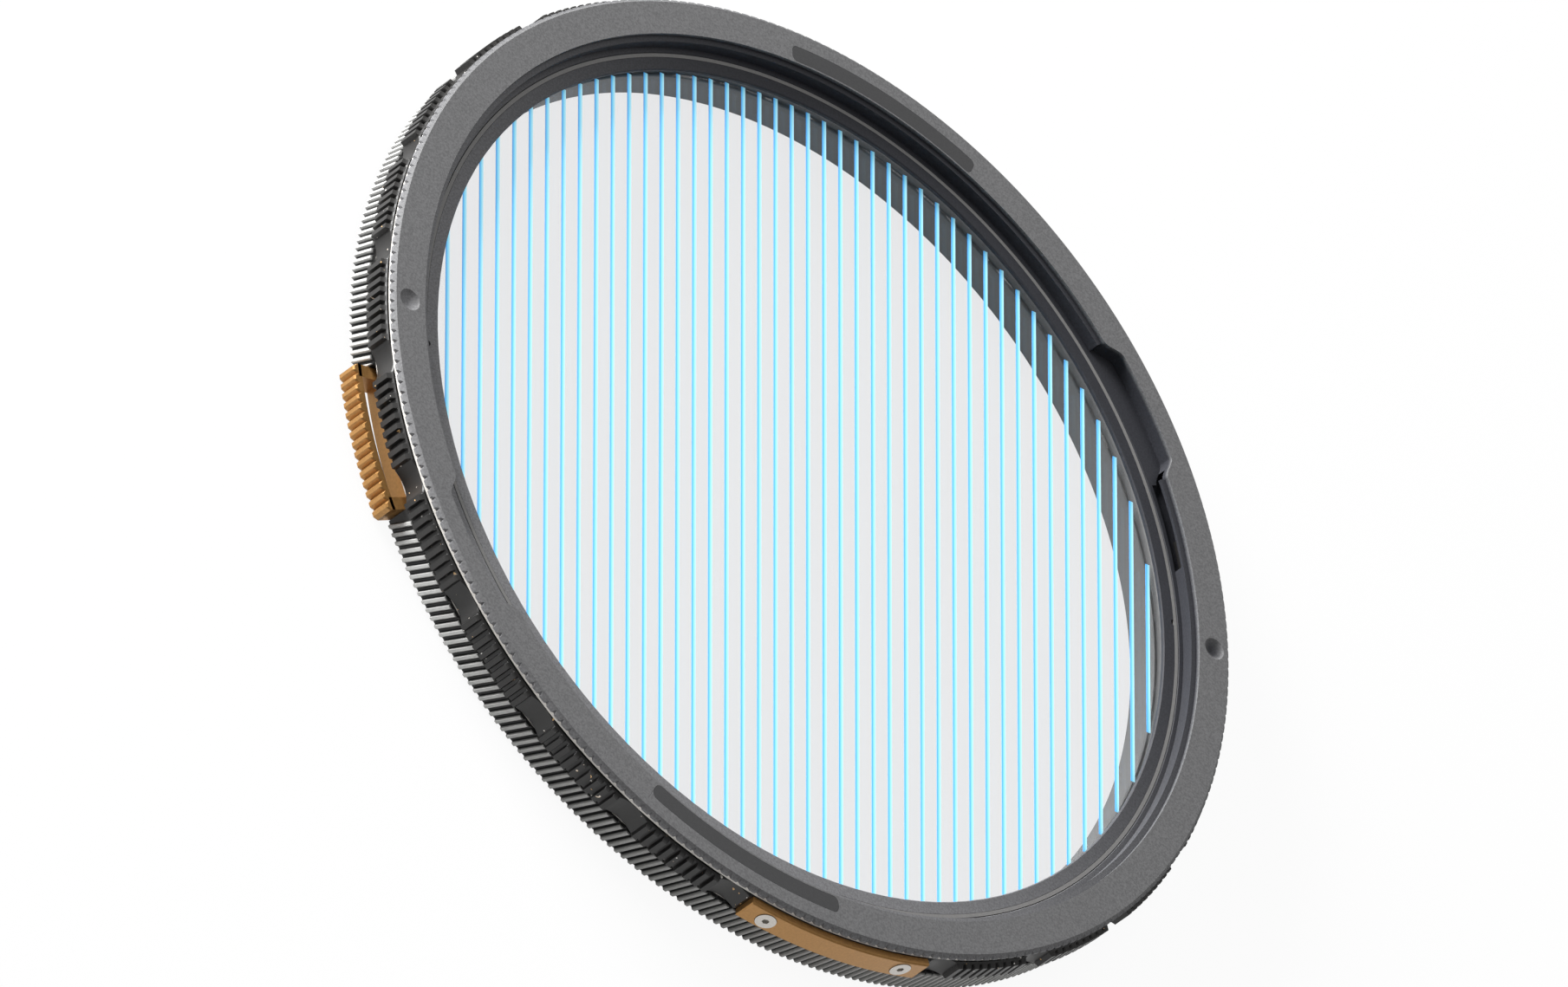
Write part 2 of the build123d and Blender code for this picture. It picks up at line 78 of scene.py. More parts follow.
# One material: its tree, and the one method that adds a node to it
class Finish:
    def __init__(self, name):
        self.material = bpy.data.materials.new(name)
        self.material.use_nodes = True
        self.tree = self.material.node_tree
        self.tree.nodes.clear()

    def node(self, kind, settings=None, values=None, output=0):
        made = self.tree.nodes.new("ShaderNode" + kind)
        for name, setting in (settings or {}).items():
            setattr(made, name, setting)
        for name, value in (values or {}).items():
            if isinstance(value, Sock):
                self.tree.links.new(value.socket, made.inputs[name])
            else:
                target = made.inputs[name]
                target.default_value = value[:3] if target.type == "VECTOR" else value
        return Sock(self, made, output)

    def place(self):
        return self.node("TexCoord", output="Object")

    def axes(self):
        split = self.node("SeparateXYZ", values={"Vector": self.place()})
        return split.out("X"), split.out("Y"), split.out("Z")

    def noise(self, scale, detail=2.0, roughness=0.5):
        values = {"Vector": self.place(), "Scale": scale, "Detail": detail, "Roughness": roughness}
        return self.node("TexNoise", values=values)

    def mix(self, factor, first, second):
        # colour mix: the Mix node's colour sockets are numbers 6 and 7, its colour result number 2
        return self.node("Mix", {"data_type": "RGBA"}, {0: factor, 6: first, 7: second}, output=2)

    def tint(self, colour, amount):
        # colour times a grey amount
        values = {0: colour, "Scale": amount}
        return self.node("VectorMath", {"operation": "SCALE"}, values)

    def bump(self, height, strength, distance):
        return self.node("Bump", values={"Height": height, "Strength": strength, "Distance": distance})

    def surface(self, **values):
        named = {spaced(name): value for name, value in values.items()}
        shader = self.node("BsdfPrincipled", values=named)
        return self.finishWith(shader)

    def finishWith(self, shader):
        self.node("OutputMaterial", values={"Surface": shader})
        return self.material


def spaced(name):
    # baseColor becomes Base Color, and specularIORLevel becomes Specular IOR Level
    words = "".join(" " + letter if letter.isupper() else letter for letter in name)
    return "Specular IOR Level" if name == "specularIORLevel" else words.title()


def colour(red, green, blue):
    # colour from 0 to 255 as the eye reads it on screen, turned into linear light
    parts = np.array([red, green, blue]) / 255
    linear = np.where(parts <= 0.04045, parts / 12.92, ((parts + 0.055) / 1.055) ** 2.4)
    return (*linear.tolist(), 1.0)


# Sizes of the rings in millimetres and degrees, in the frame's own place
ring = {
    "apertureRadius": 40.43, "glassBore": 40.80, "retainerBore": 41.40, "sleeve": 41.75,
    "mountBore": 41.80, "socket": 42.32, "lip": 42.87, "entry": 44.16, "collar": 44.70,
    "gripBore": 45.42, "gripDip": 45.90, "gripRoot": 46.35, "gripTop": 46.80,
    "rim": 46.35, "face": 46.00,
    "faceLevel": 1.60, "plateBottom": 1.05, "lipDepth": 0.45, "rimChamferHeight": 0.30,
    "gripTopLevel": 0.55, "gripBottom": -1.90, "frontTop": -2.10, "frontRim": -5.00,
    "collarBottom": -1.85, "seamChamfer": 0.08, "sleeveTop": -0.03,
}


def angleSpread(*groups):
    # All the given angles in one sorted row from 0 to 360, near doubles left out
    every = np.sort(np.concatenate([np.asarray(group, float).ravel() for group in groups]) % 360)
    keep = np.append(True, np.diff(every) > 1e-4)
    return every[keep]


def turnedOff(angles, middle):
    # Signed angle from a middle, between -180 and 180
    return (angles - middle + 180) % 360 - 180


def offPair(angles, middle):
    # Angle from the nearer of two middles half a turn apart
    return np.abs(turnedOff(angles * 2, middle * 2)) / 2


def smoothRise(values, low, high):
    share = np.clip((values - low) / (high - low), 0, 1)
    return share * share * (3 - 2 * share)


# A closed outline carried round the axis: the point of row i and column j lies at angle i (degrees),
# radius[i, j] and height[i, j] (millimetres). Outlines run anticlockwise, with the axis on their left.
def carriedRing(name, angles, radius, height):
    rows, columns = radius.shape
    turn = np.radians(np.broadcast_to(angles if angles.ndim == 2 else angles[:, None], radius.shape))
    points = np.stack([radius * np.cos(turn), radius * np.sin(turn), height], axis=-1) * mm
    row = np.arange(rows)
    column = np.arange(columns)
    first = row[:, None] * columns + column
    ahead = ((row + 1) % rows)[:, None] * columns + column
    beside = (column + 1) % columns
    firstBeside = row[:, None] * columns + beside
    aheadBeside = ((row + 1) % rows)[:, None] * columns + beside
    quads = np.stack([first, ahead, aheadBeside, firstBeside], axis=-1).reshape(-1, 4)
    return meshPiece(name, points.reshape(-1, 3), quads)


def meshPiece(name, points, faces, mergeAt=2e-7, sharpAngle=28, caps=()):
    mesh = bpy.data.meshes.new(name)
    mesh.from_pydata(points.tolist(), [], faces.tolist() + [list(cap) for cap in caps])
    work = bmesh.new()
    work.from_mesh(mesh)
    bmesh.ops.remove_doubles(work, verts=work.verts, dist=mergeAt)
    bmesh.ops.dissolve_degenerate(work, edges=work.edges, dist=mergeAt)
    work.to_mesh(mesh)
    work.free()
    mesh.shade_smooth()
    mesh.set_sharp_from_angle(angle=math.radians(sharpAngle))
    piece = bpy.data.objects.new(name, mesh)
    scene.collection.objects.link(piece)
    return piece


def columnsOf(angles, outline):
    # Each entry of an outline is a (radius, height) pair of numbers or arrays over the angles
    radius = np.stack([np.broadcast_to(np.asarray(r, float), angles.shape) for r, h in outline], axis=1)
    height = np.stack([np.broadcast_to(np.asarray(h, float), angles.shape) for r, h in outline], axis=1)
    return radius, height


def finishNode(name, material):
    # The CAD node keeps its mesh and gets this material
    node = nodes[name]
    node.data.materials.clear()
    node.data.materials.append(material)


def dress(piece, material, body, slotName, *replaced):
    piece.data.materials.append(material)
    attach(piece, body)
    if replaced:
        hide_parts(*replaced)


# Rear plate of the mount
plate = {
    "notchCount": 286, "notchDepth": 0.24, "notchShare": 0.42,
    "entryAngle": 32.0, "entryMouth": 9.0, "entryFloor": 6.75,
    "windowStart": 11.5, "windowEnd": 24.4, "windowTop": 0.74, "windowBottom": 2.0,
    "dimpleAngle": 1.0, "dimpleMiddle": 44.53, "dimpleRadius": 1.05, "dimpleDepth": 0.42, "dimpleLines": 9,
    "magnetAngle": 79.8, "magnetSpan": 27.0, "pocketInner": 43.01, "pocketOuter": 44.62,
    "pocketDepth": 0.82, "pocketCorner": 0.6, "pocketGap": 0.03, "pocketRest": 45.6, "dimpleRest": 0.08,
    "entryRound": 0.35,
}


def notchWave(angles):
    # Share of the notch depth: a V whose width is a share of the pitch, 0 on the land between
    place = angles * plate["notchCount"] / 360 % 1
    return np.clip(1 - np.abs(place - 0.5) / (plate["notchShare"] / 2), 0, 1)


def entryWall(angles):
    # Radius of the socket's upper wall: the lip, pushed out to the entry's wall between two slanted ends
    away = offPair(angles, plate["entryAngle"])
    share = 1 - smoothRise(away, plate["entryFloor"] - plate["entryRound"], plate["entryMouth"])
    return ring["lip"] + (ring["entry"] - ring["lip"]) * share


def pocketHalfWidth(angles):
    # Half the magnet pocket's width: full in the middle, a quarter circle at each rounded corner
    half = (plate["pocketOuter"] - plate["pocketInner"]) / 2
    middle = (plate["pocketOuter"] + plate["pocketInner"]) / 2
    away = offPair(angles, plate["magnetAngle"])
    end = np.radians(plate["magnetSpan"] / 2 + plate["pocketGap"] - away) * middle
    corner = plate["pocketCorner"]
    inset = corner - np.sqrt(np.clip(corner**2 - np.clip(corner - end, 0, corner) ** 2, 0, None))
    return np.where(end > 0, half - inset, 0)


def rearPlateAngles():
    lands = (np.arange(plate["notchCount"])[:, None] + [0, 0.5 - plate["notchShare"] / 2, 0.5,
                                                       0.5 + plate["notchShare"] / 2])
    marks = []
    for halfTurn in (0, 180):
        entry = plate["entryAngle"] + halfTurn
        slants = np.linspace(plate["entryFloor"] - 0.5, plate["entryMouth"], 14)
        marks.append(np.concatenate([entry - slants, entry + slants]))
        mouth = plate["entryMouth"]
        marks.append([entry - mouth - hair, entry - mouth, entry + mouth, entry + mouth + hair])
        start = plate["windowStart"] + halfTurn
        end = plate["windowEnd"] + halfTurn
        marks.append([start, start + hair, end - hair, end])
        dimpleHalf = math.degrees(plate["dimpleRadius"] / plate["dimpleMiddle"])
        marks.append(plate["dimpleAngle"] + halfTurn + dimpleHalf * np.sin(np.linspace(-1, 1, 29) * math.pi / 2))
        corner = math.degrees(plate["pocketCorner"] / plate["pocketInner"])
        rounding = corner * (1 - np.cos(np.linspace(0, 1, 9) * math.pi / 2))
        magnetEnd = plate["magnetSpan"] / 2 + plate["pocketGap"]
        middle = plate["magnetAngle"] + halfTurn
        marks.append(np.concatenate([middle - magnetEnd + rounding, middle + magnetEnd - rounding]))
    return angleSpread(lands * 360 / plate["notchCount"], *marks)


def rearPlate():
    # The outline is the mount's section. Over the angle, its rim dips into V notches, its lip opens at the
    # two entries, its socket wall steps out in the two windows, and its face sinks in dimples and pockets.
    angles = rearPlateAngles()
    top = ring["faceLevel"]
    notch = notchWave(angles) * plate["notchDepth"]
    slope = ring["rimChamferHeight"] / (ring["rim"] - ring["face"])
    rimTop = top - ring["rimChamferHeight"] + notch * slope
    wall = entryWall(angles)
    entryAway = offPair(angles, plate["entryAngle"])
    insideEntry = entryAway <= plate["entryMouth"] + 1e-6
    socket = np.where(insideEntry, wall, ring["socket"])
    shelf = top - ring["lipDepth"]
    windowMiddle = (plate["windowStart"] + plate["windowEnd"]) / 2
    windowHalf = (plate["windowEnd"] - plate["windowStart"]) / 2
    windowAway = offPair(angles, windowMiddle)
    insideWindow = windowAway < windowHalf - hair / 2
    undercut = np.where(insideWindow, ring["entry"], socket)
    outline = [
        (ring["mountBore"], ring["collarBottom"]),
        (ring["collar"], ring["collarBottom"]),
        (ring["collar"], ring["plateBottom"]),
        (ring["rim"] - notch, ring["plateBottom"]),
        (ring["rim"] - notch, rimTop),
        (ring["face"], top),
    ]
    outline += pocketColumns(angles, top)
    outline += dimpleColumns(angles, top, wall)
    windowTop = top - plate["windowTop"]
    windowFloor = np.where(insideWindow, top - plate["windowBottom"], 0.0)
    outline += [
        (wall, top),
        (wall, shelf),
        (socket, shelf),
        (socket, windowTop),
        (undercut, windowTop),
        (undercut, windowFloor),
        (socket, windowFloor),
        (socket, 0.0),
        (ring["mountBore"] + ring["seamChamfer"], 0.0),
        (ring["mountBore"], -ring["seamChamfer"]),
    ]
    return carriedRing("rearPlate", angles, *columnsOf(angles, outline))


def pocketColumns(angles, top):
    half = pocketHalfWidth(angles)
    middle = np.where(half > 0, (plate["pocketOuter"] + plate["pocketInner"]) / 2, plate["pocketRest"])
    floor = np.where(half > 0, top - plate["pocketDepth"], top)
    return [(middle + half, top), (middle + half, floor), (middle - half, floor), (middle - half, top)]


def dimpleColumns(angles, top, wall):
    # Lines at fixed shares of the dimple's half chord, sunk by a ball's cap, at rest beside the socket's wall
    radius = plate["dimpleRadius"]
    depth = plate["dimpleDepth"]
    ball = (radius**2 + depth**2) / (2 * depth)
    across = np.radians(turnedOff(angles * 2, plate["dimpleAngle"] * 2) / 2) * plate["dimpleMiddle"]
    chord = np.sqrt(np.clip(radius**2 - across**2, 0, None))
    lines = []
    for share in np.linspace(1, -1, plate["dimpleLines"]):
        away = np.minimum(np.hypot(across, chord * share), radius)
        sink = np.sqrt(ball**2 - away**2) - (ball - depth)
        inside = np.abs(across) < radius + 1e-3
        place = np.where(inside, plate["dimpleMiddle"] + chord * share, wall + plate["dimpleRest"])
        lines.append((place, top - np.where(inside, sink, 0)))
    return lines


# Grip ring of the lock
grip = {
    "periods": 25, "plateAngle": 274.6, "plateSpan": 24.0, "plateSeat": 46.15, "dipSpan": 3.9,
    "ribs": 9, "ribPitch": 1.2, "ribTopShare": 0.5, "ribFootShare": 0.68, "endChamfer": 0.26, "edgeChamfer": 0.12,
}


def gripKnots():
    # Angles of one turn with the rib height share and the dip share at each
    period = 360 / grip["periods"]
    knots = []
    for number in range(1, grip["periods"]):
        dip = grip["plateAngle"] + number * period
        for across in np.linspace(-1, 1, 13):
            knots.append((dip + across * grip["dipSpan"] / 2, 0, 1 - across**2))
        if number < grip["periods"] - 1:
            for step in range(grip["ribs"]):
                rib = dip + period / 2 + (step - (grip["ribs"] - 1) / 2) * grip["ribPitch"]
                foot = grip["ribFootShare"] * grip["ribPitch"] / 2
                tip = grip["ribTopShare"] * grip["ribPitch"] / 2
                knots += [(rib - foot, 0, 0), (rib - tip, 1, 0), (rib + tip, 1, 0), (rib + foot, 0, 0)]
    return np.array(knots)


def gripBand():
    # The outer wall is the root plus ribs minus dips. Towards both faces the ribs sink with a slant.
    knots = gripKnots()
    seat = grip["plateAngle"] + grip["plateSpan"] / 2 * np.linspace(-1, 1, 13)
    seatRows = np.stack([seat, np.zeros(13), np.zeros(13)], axis=1)
    knots = np.concatenate([knots, seatRows])
    knots[:, 0] %= 360
    knots = knots[np.argsort(knots[:, 0])]
    angles = knots[:, 0]
    onSeat = np.abs(turnedOff(angles, grip["plateAngle"])) <= grip["plateSpan"] / 2 + 1e-6
    root = np.where(onSeat, grip["plateSeat"], ring["gripRoot"] - knots[:, 2] * (ring["gripRoot"] - ring["gripDip"]))
    ribHeight = (ring["gripTop"] - ring["gripRoot"]) * knots[:, 1]
    bottom, top, slant = ring["gripBottom"], ring["gripTopLevel"], grip["endChamfer"]
    edge = grip["edgeChamfer"]
    outline = [
        (ring["gripBore"], bottom),
        (root - edge, bottom),
        (root, bottom + edge),
        (root + ribHeight, bottom + slant),
        (root + ribHeight, top - slant),
        (root, top - edge),
        (root - edge, top),
        (ring["gripBore"], top),
    ]
    return carriedRing("gripBand", angles, *columnsOf(angles, outline))


# Front ring with its slanted ribs
front = {
    "teeth": 360, "slant": 20.0, "rootDepth": 0.4, "outer": 46.3, "topShare": 0.34, "rootShare": 0.2,
    "edgeBand": 0.3, "edgeChamfer": 0.2, "recess": 44.5, "recessAngle": 196.2, "recessHalf": 8.62,
    "glassSeat": -1.74, "retainerSeat": -0.38, "seatChamfer": 0.1, "recessReach": 20,
}


def toothWave(place):
    # 1 on the rib's flat, 0 on the groove's floor, straight flanks between
    away = np.abs(place % 1 - 0.5)
    flat, floor = front["topShare"] / 2, 0.5 - front["rootShare"] / 2
    return 1 - np.clip((away - flat) / (floor - flat), 0, 1)


def frontKnurl():
    # The section is the front ring's. The ribbed wall's columns are turned as they rise, which slants the ribs.
    pitch = 360 / front["teeth"]
    flat, floor = front["topShare"] / 2, 0.5 - front["rootShare"] / 2
    marks = (np.arange(front["teeth"])[:, None] + [0.5 - floor, 0.5 - flat, 0.5 + flat, 0.5 + floor]) * pitch
    recessEdges = front["recessAngle"] + front["recessHalf"] * np.array([-1, 1])
    edges = np.concatenate([recessEdges - hair / 2, recessEdges + hair / 2])
    angles = angleSpread(marks, edges)
    inRecess = np.abs(turnedOff(angles, front["recessAngle"])) < front["recessHalf"]
    atEdge = np.abs(np.abs(turnedOff(angles, front["recessAngle"])) - front["recessHalf"]) < hair
    rim, top = ring["frontRim"], ring["frontTop"]
    low = rim + front["edgeBand"]
    root = front["outer"] - front["rootDepth"]
    wave = root + front["rootDepth"] * toothWave(angles / pitch)
    outer = np.where(inRecess, front["recess"], wave)
    plain = np.where(inRecess, front["recess"], root)
    lower = np.where(inRecess, front["recess"], root - front["edgeChamfer"])
    outline = [
        (ring["apertureRadius"], rim),
        (lower, rim),
        (plain, rim + front["edgeChamfer"]),
        (plain, low),
        (outer, low),
        (outer, (low + top) / 2),
        (outer, top),
        (ring["sleeve"], top),
        (ring["sleeve"], ring["sleeveTop"]),
        (ring["retainerBore"], ring["sleeveTop"]),
        (ring["retainerBore"], front["retainerSeat"]),
        (ring["glassBore"], front["retainerSeat"]),
        (ring["glassBore"], front["glassSeat"]),
        (ring["apertureRadius"] + front["seatChamfer"], front["glassSeat"]),
        (ring["apertureRadius"], front["glassSeat"] - front["seatChamfer"]),
    ]
    radius, height = columnsOf(angles, outline)
    lean = np.degrees((height - low) * math.tan(math.radians(front["slant"])) / front["outer"])
    lean[:, :4] = 0
    lean[:, 7:] = 0
    lean[inRecess | atEdge] = 0
    turned = angles[:, None] + lean
    # Just before the recess, no leaning row passes the recess's edge
    off = turnedOff(angles, front["recessAngle"])
    limit = front["recessAngle"] - front["recessHalf"] - hair / 2
    before = (off < 0) & (off > -front["recessReach"]) & ~inRecess
    turned[before] = np.minimum(turned[before], limit)
    return carriedRing("frontKnurl", turned, radius, height)


# Thumb lever
lever = {
    "angle": 196.2, "span": 17.1, "bottom": -4.6, "top": -2.5, "baseInner": 44.53, "baseOuter": 45.03,
    "barInner": 47.05, "barOuter": 47.55, "tipOuter": 47.93, "strut": 1.2, "teeth": 15,
    "tipShare": 0.36, "edge": 0.16,
}


def arcBar(angles, inner, outer, bottom, top, edge):
    # Six-sided section, its two outer edges cut off, carried along an arc and closed by its end sections
    outline = [
        (inner, bottom), (outer - edge, bottom), (outer, bottom + edge),
        (outer, top - edge), (outer - edge, top), (inner, top),
    ]
    radius, height = columnsOf(angles, outline)
    rows, columns = radius.shape
    turn = np.radians(angles)[:, None]
    points = np.stack([radius * np.cos(turn), radius * np.sin(turn), height], axis=-1).reshape(-1, 3) * mm
    row = np.arange(rows - 1)[:, None] * columns
    column = np.arange(columns)
    beside = (column + 1) % columns
    quads = np.stack([row + column, row + columns + column, row + columns + beside, row + beside], axis=-1)
    caps = [column.tolist(), (column[::-1] + (rows - 1) * columns).tolist()]
    return points, quads.reshape(-1, 4), caps


def thumbLever():
    # A toothed outer bar, a base strip and two struts, each a bar carried along an arc
    start = lever["angle"] - lever["span"] / 2
    end = start + lever["span"]
    pitch = lever["span"] / lever["teeth"]
    shares = np.array([0, (1 - lever["tipShare"]) / 2, (1 + lever["tipShare"]) / 2])
    toothAngles = (start + (np.arange(lever["teeth"])[:, None] + shares) * pitch).ravel()
    toothAngles = np.append(toothAngles, end)
    tips = np.append(np.tile([0, 1, 1], lever["teeth"]), 0)
    outer = lever["barOuter"] + (lever["tipOuter"] - lever["barOuter"]) * tips
    strut = math.degrees(lever["strut"] / lever["barInner"])
    arcs = [
        (toothAngles, lever["barInner"], outer),
        (np.linspace(start, end, 25), lever["baseInner"], lever["baseOuter"]),
        (np.linspace(start, start + strut, 4), lever["baseInner"], lever["barOuter"]),
        (np.linspace(end - strut, end, 4), lever["baseInner"], lever["barOuter"]),
    ]
    points, faces, caps, count = [], [], [], 0
    for angles, inner, outside in arcs:
        barPoints, quads, ends = arcBar(angles, inner, outside, lever["bottom"], lever["top"], lever["edge"])
        points.append(barPoints)
        faces.append(quads + count)
        caps += [[index + count for index in cap] for cap in ends]
        count += len(barPoints)
    return meshPiece("thumbLever", np.concatenate(points), np.concatenate(faces), mergeAt=1e-8, caps=caps)


# Materials


def blastedGrey():
    # Blasted and anodised metal: fine grain. Down in the socket the colour is painted light and shade: lighter than
    # the face on the near side, dark and bluer on the far side
    made = Finish("blastedGrey")
    grain = made.noise(5200.0, 2.0, 0.6)
    patch = made.noise(160.0, 2.0)
    across, along, height = made.axes()
    depth = height.step(1.62 * mm, 1.1 * mm)
    farSideShadeShare = (across * 0.672 + along * 0.741).step(-30.0 * mm, 30.0 * mm)
    shade = (grain.step(0.25, 0.75) - 0.5) * 0.46 + 1.0 + (patch - 0.5) * 0.05
    # Painted light on the socket's near (-X, -Y) side and painted shade, dark and bluer, on its far (+X, +Y) side
    socket = made.mix(farSideShadeShare, colour(118, 118, 120), colour(42, 43, 49))
    base = made.mix(depth, colour(105, 105, 106), socket)
    bump = made.bump(grain, 0.35, 0.03 * mm)
    return made.surface(baseColor=made.tint(base, shade), roughness=0.62, normal=bump,
                        specularIORLevel=0.4)


def magnetCoat():
    made = Finish("magnetCoat")
    grain = made.noise(6500.0, 2.0)
    shade = (grain - 0.5) * 0.35 + 1.0
    bump = made.bump(grain, 0.2, 0.02 * mm)
    return made.surface(baseColor=made.tint(colour(64, 64, 65), shade), roughness=0.6, normal=bump,
                        specularIORLevel=0.35)


def gripBlack():
    # Black anodised metal with scattered bright flecks
    made = Finish("gripBlack")
    grain = made.noise(3800.0, 2.0)
    fleck = made.noise(2600.0, 0.0).step(0.81, 0.83)
    warm = made.noise(900.0, 0.0).step(0.4, 0.6)
    fleckColour = made.mix(warm, colour(235, 190, 130), colour(235, 232, 226))
    shade = (grain - 0.5) * 0.5 + 1.0
    base = made.mix(fleck, made.tint(colour(31, 30, 29), shade), fleckColour)
    bump = made.bump(grain, 0.2, 0.02 * mm)
    return made.surface(baseColor=base, roughness=0.42, normal=bump, specularIORLevel=0.5)


def frontMetal():
    # Painted highlight on the rib tops and painted shade in the grooves between them: the shade follows the distance
    # from the axis
    made = Finish("frontMetal")
    grain = made.noise(4200.0, 2.0)
    shade = (grain - 0.5) * 0.3 + 1.0
    across, along, _ = made.axes()
    squares = across * across + along * along
    distance = squares.math("SQRT", squares)
    outside = distance.step(45.2 * mm, 45.4 * mm)
    ribTopHighlightShare = distance.step(46.02 * mm, 46.24 * mm)
    # Light rib tops are painted highlight and dark grooves are painted shade
    ribbed = made.mix(ribTopHighlightShare, colour(38, 38, 38), colour(176, 176, 174))
    base = made.mix(outside, colour(124, 123, 122), ribbed)
    bump = made.bump(grain, 0.15, 0.02 * mm)
    return made.surface(baseColor=made.tint(base, shade), roughness=0.5, normal=bump, specularIORLevel=0.4)


def goldAnodised():
    made = Finish("goldAnodised")
    grain = made.noise(4500.0, 2.0)
    shade = (grain - 0.5) * 0.4 + 1.0
    bump = made.bump(grain, 0.2, 0.02 * mm)
    return made.surface(baseColor=made.tint(colour(172, 128, 74), shade), metallic=0.6, roughness=0.36,
                        normal=bump)


def turnedSteel():
    made = Finish("turnedSteel")
    grain = made.noise(5000.0, 2.0)
    shade = (grain - 0.5) * 0.25 + 1.0
    return made.surface(baseColor=made.tint(colour(196, 192, 186), shade), metallic=0.9, roughness=0.38)


def glideStrip():
    # Pale low friction plastic with faint streaks along the axis
    made = Finish("glideStrip")
    grain = made.noise(2500.0, 3.0)
    shade = (grain - 0.5) * 0.22 + 1.0
    return made.surface(baseColor=made.tint(colour(214, 210, 204), shade), roughness=0.5)


def gasketRubber():
    made = Finish("gasketRubber")
    grain = made.noise(3000.0, 2.0)
    return made.surface(baseColor=made.tint(colour(28, 28, 29), (grain - 0.5) * 0.3 + 1.0), roughness=0.7)


def coatedGlass():
    # Thin clear glass: light goes straight through with a slight loss, and the surface mirrors a little
    made = Finish("coatedGlass")
    clear = made.node("BsdfTransparent", values={"Color": (0.974, 0.974, 0.976, 1)})
    mirror = made.node("BsdfGlossy", values={"Color": (1, 1, 1, 1), "Roughness": 0.03})
    return made.finishWith(made.node("MixShader", values={0: 0.025, 1: clear, 2: mirror}))


# Streak lines: place of the middle line, pitch and width in millimetres
streak = {"middle": -0.45, "pitch": 1.805, "width": 0.42, "keepPositive": 100}


def streakBlue():
    # Clear light blue line, deeper blue along its -X edge, glowing with painted light
    made = Finish("streakBlue")
    across = (made.axes()[0] / mm - streak["middle"]) / streak["pitch"] + 0.5 + streak["keepPositive"]
    side = (across.fract() - 0.5) * streak["pitch"] / streak["width"] + 0.5
    inner = made.mix(side.step(0.0, 0.45), colour(84, 172, 246), colour(128, 218, 253))
    base = made.mix(side.step(0.4, 0.9), inner, colour(184, 240, 255))
    # The emission is painted light: the lines glow though they are no lamp
    return made.surface(baseColor=base, roughness=0.3, emissionColor=base, emissionStrength=0.5)


# Floor, lights and camera
studio = {
    "floorLevel": -5.0, "floorSide": 6000.0, "worldLight": 0.28,
    "cameraAzimuth": 227.8, "cameraElevation": 40.1, "cameraDistance": 3000.0,
    "imageWidth": 1809, "imageHeight": 1139, "pixelsPerMm": 13.337, "faceMiddlePixel": (940.7, 548.6),
    "sensor": 36.0,
}


def paleFloor():
    made = Finish("paleFloor")
    path = made.node("LightPath")
    seen = path.out("Is Camera Ray") + path.out("Is Glossy Ray") + path.out("Is Transmission Ray")
    grain = made.noise(40.0, 2.0)
    base = made.tint(colour(250, 250, 250), (grain - 0.5) * 0.01 + 1.0)
    matt = made.node("BsdfDiffuse", values={"Color": base})
    glow = made.node("Emission", values={"Color": (1, 1, 1, 1), "Strength": 1.0})
    share = seen.math("MINIMUM", seen, 1.0) * 0.93
    return made.finishWith(made.node("MixShader", values={0: share, 1: matt, 2: glow}))


def floorPiece():
    half = studio["floorSide"] / 2
    corners = np.array([[-half, -half], [half, -half], [half, half], [-half, half]])
    points = np.column_stack([corners, np.full(4, studio["floorLevel"])]) * mm
    floor = meshPiece("studioFloor", points, np.array([[0, 1, 2, 3]]))
    floor.data.materials.append(paleFloor())


def worldLight():
    world = bpy.data.worlds.new("studioSky")
    scene.world = world
    world.use_nodes = True
    tree = world.node_tree
    tree.nodes.clear()
    path = tree.nodes.new("ShaderNodeLightPath")
    seen = tree.nodes.new("ShaderNodeBackground")
    seen.inputs["Color"].default_value = (1, 1, 1, 1)
    seen.inputs["Strength"].default_value = 1.0
    lit = tree.nodes.new("ShaderNodeBackground")
    lit.inputs["Color"].default_value = (1, 1, 1, 1)
    lit.inputs["Strength"].default_value = studio["worldLight"]
    mix = tree.nodes.new("ShaderNodeMixShader")
    output = tree.nodes.new("ShaderNodeOutputWorld")
    tree.links.new(path.outputs["Is Camera Ray"], mix.inputs[0])
    tree.links.new(lit.outputs[0], mix.inputs[1])
    tree.links.new(seen.outputs[0], mix.inputs[2])
    tree.links.new(mix.outputs[0], output.inputs["Surface"])


# Azimuth, elevation, distance, size and power
lamps = {"topLamp": (60, 72, 900, 700, 2.4), "leftLamp": (138, 8, 800, 420, 24.0)}


def areaLamp(name, azimuth, elevation, distance, size, power):
    # Square lamp on a sphere round the object, turned towards the middle
    lamp = bpy.data.lights.new(name, "AREA")
    lamp.size = size * mm
    lamp.energy = power
    holder = bpy.data.objects.new(name, lamp)
    turn, rise = math.radians(azimuth), math.radians(elevation)
    away = Vector((math.cos(turn) * math.cos(rise), math.sin(turn) * math.cos(rise), math.sin(rise)))
    holder.location = away * distance * mm
    holder.rotation_euler = away.to_track_quat("Z", "Y").to_euler()
    scene.collection.objects.link(holder)


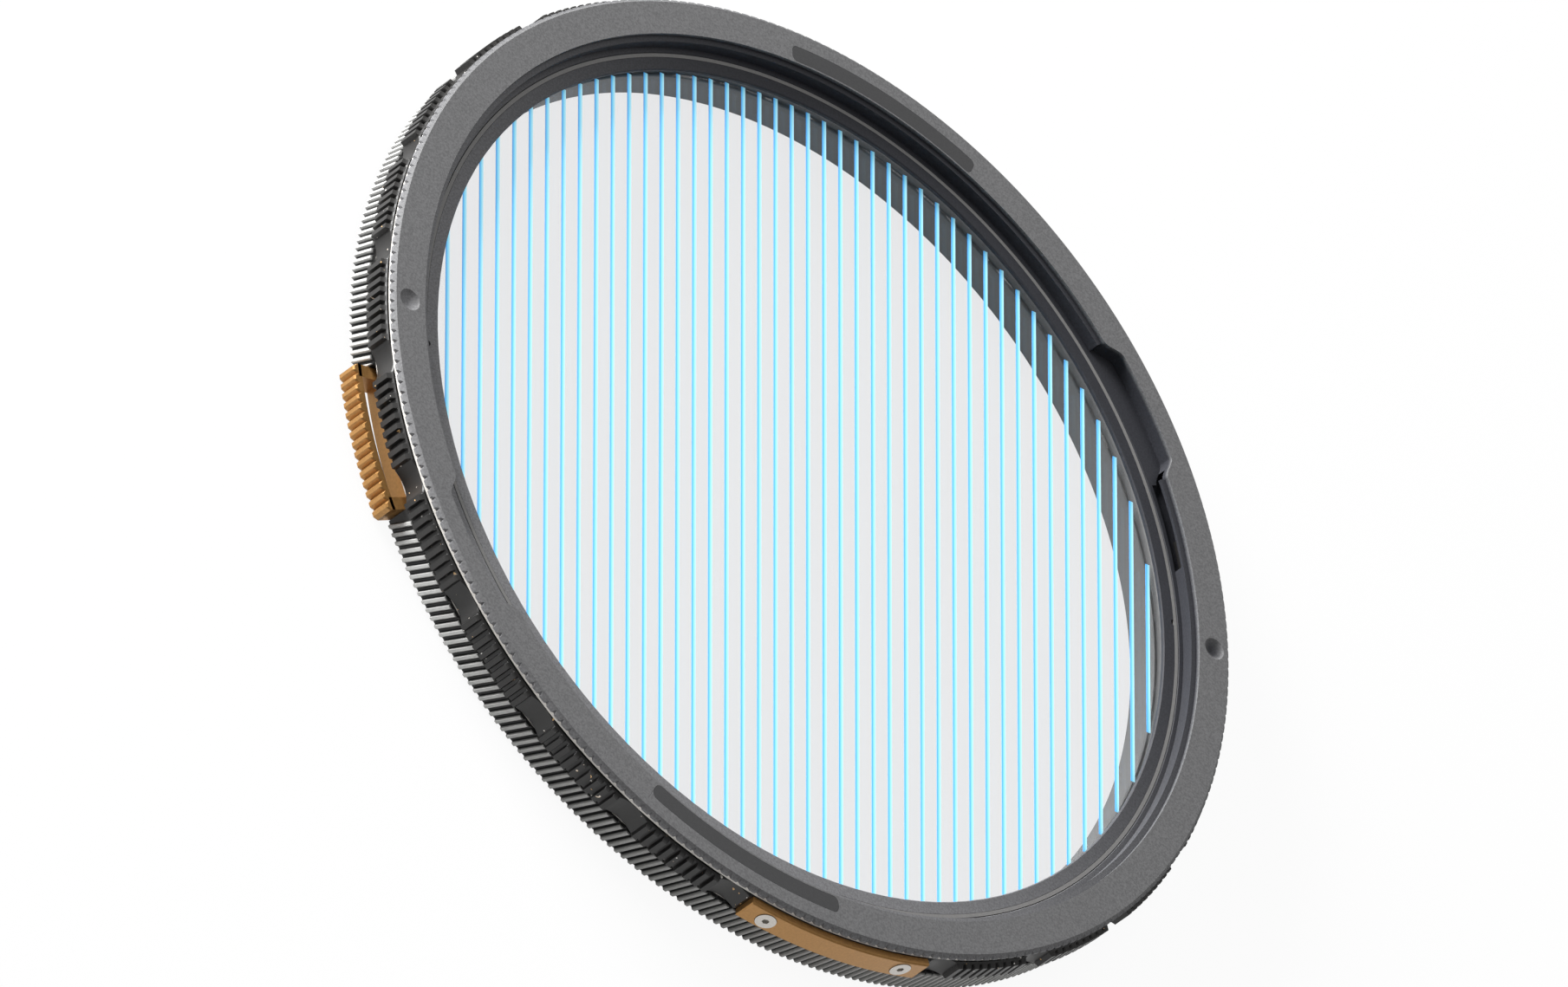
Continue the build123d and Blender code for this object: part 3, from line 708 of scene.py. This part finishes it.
def photoCamera():
    # The view is nearly parallel. +Y of the frame points straight up in the picture.
    turn = math.radians(studio["cameraAzimuth"])
    rise = math.radians(studio["cameraElevation"])
    back = Vector((math.cos(turn) * math.cos(rise), math.sin(turn) * math.cos(rise), math.sin(rise)))
    up = (Vector((0, 1, 0)) - back * back.y).normalized()
    right = up.cross(back)
    scale = studio["pixelsPerMm"]
    aside = (studio["imageWidth"] / 2 - studio["faceMiddlePixel"][0]) / scale
    above = (studio["faceMiddlePixel"][1] - studio["imageHeight"] / 2) / scale
    middle = Vector((0, 0, ring["faceLevel"]))
    camera = bpy.data.objects.new("photoCamera", bpy.data.cameras.new("photoCamera"))
    camera.data.sensor_width = studio["sensor"]
    camera.data.lens = studio["sensor"] * studio["cameraDistance"] * scale / studio["imageWidth"]
    camera.data.clip_start = 0.1
    camera.data.clip_end = 20.0
    place = (middle + right * aside + up * above + back * studio["cameraDistance"]) * mm
    turned = Matrix((right, up, back)).transposed().to_4x4()
    camera.matrix_world = Matrix.Translation(place) @ turned
    scene.collection.objects.link(camera)
    scene.camera = camera


def build():
    grey = blastedGrey()
    black = gripBlack()
    metal = frontMetal()
    gold = goldAnodised()
    steel = turnedSteel()
    glide = glideStrip()
    glass = coatedGlass()
    print("stage: materials made")
    dress(rearPlate(), grey, "mount", "rear_plate", "mount_flange")
    dress(gripBand(), black, "lock_ring", "grip", "grip_ring")
    dress(frontKnurl(), metal, "front", "front_ring", "front_ring")
    dress(thumbLever(), gold, "front", "gold", "lever")
    print("stage: rings and lever made")
    for name in ("magnet_1", "magnet_2"):
        finishNode(name, magnetCoat())
    finishNode("lug_ring", black)
    finishNode("nameplate", gold)
    for name in ("nameplate_screws", "lever_screws", "click_spring_1", "click_spring_2", "snap_wire"):
        finishNode(name, steel)
    for name in ("rear_glide_ring", "front_glide_ring"):
        finishNode(name, glide)
    finishNode("retaining_ring", grey)
    finishNode("glass_gasket", gasketRubber())
    for name in ("front_glass", "rear_glass"):
        finishNode(name, glass)
    finishNode("streak_lines", streakBlue())
    print("stage: frame nodes finished")
    floorPiece()
    worldLight()
    for name, values in lamps.items():
        areaLamp(name, *values)
    photoCamera()
    scene.view_settings.view_transform = "Standard"
    print("stage: studio set")


build()
